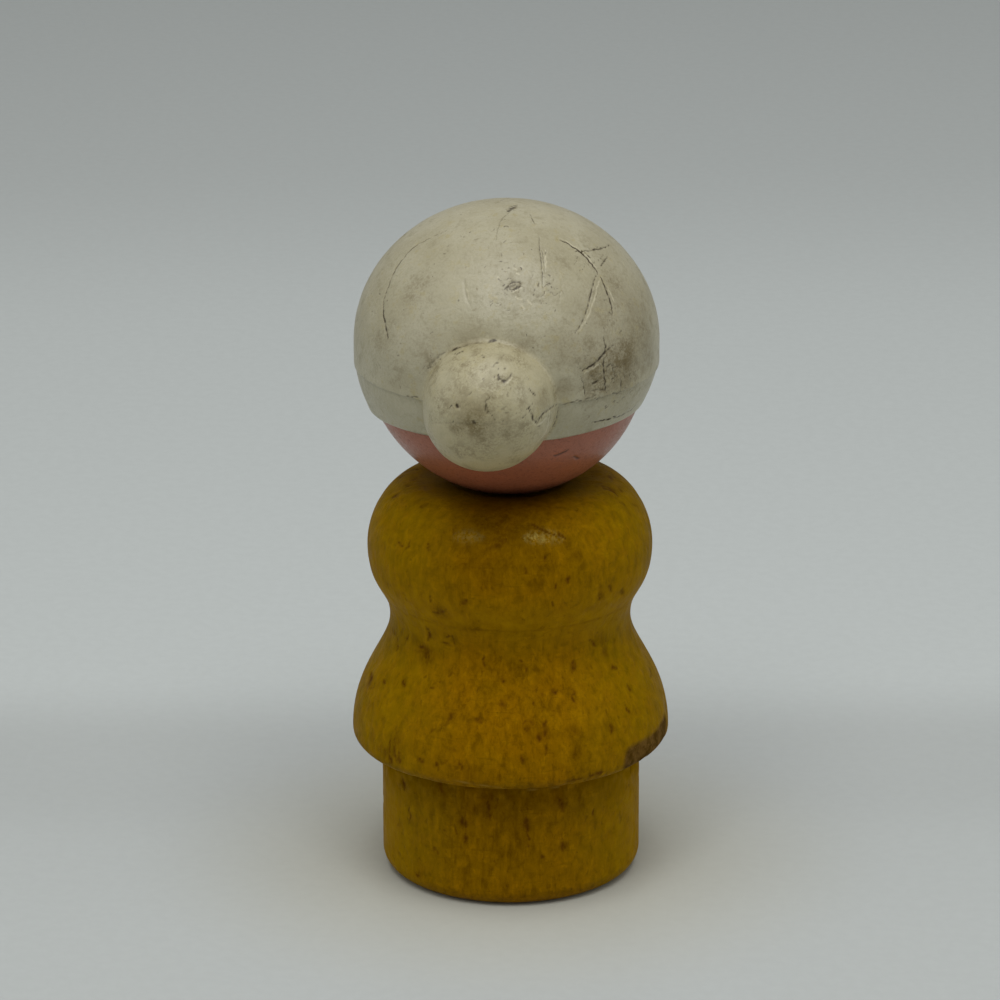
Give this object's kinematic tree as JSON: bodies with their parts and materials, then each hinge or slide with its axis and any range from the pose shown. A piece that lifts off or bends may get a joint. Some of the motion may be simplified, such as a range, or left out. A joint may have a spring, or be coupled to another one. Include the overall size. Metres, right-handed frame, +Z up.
{
  "type": "toy peg figure",
  "caption": "Turned wooden peg figure with a round foot, flared skirt and waist, and a moulded ball head with a bun that turns on a hidden pin.",
  "frame": {"origin": "centre of the flat foot, on the axis that the body was turned about", "axes": "+Z up along the body's axis, -Y the way the face looks at rest, +X to the figure's left"},
  "size_m": [0.0272, 0.0312, 0.059],
  "materials": {
    "stained_wood": "yellow stain under a worn satin varnish",
    "pin_steel": "bright drawn",
    "pink_plastic": "satin, dusty",
    "ivory_plastic": "satin, scratched"
  },
  "bodies": {
    "figure_body": {"body": "stained_wood", "neck_pin": "pin_steel"},
    "head": {"head_shell": "pink_plastic", "hair_cap": "ivory_plastic"}
  },
  "joints": [
    {"name": "head_swivel", "type": "hinge", "parent": "figure_body", "child": "head", "pos_m": [0, 0, 0.0338], "axis": [0, 0, 1], "continuous": true}
  ]
}
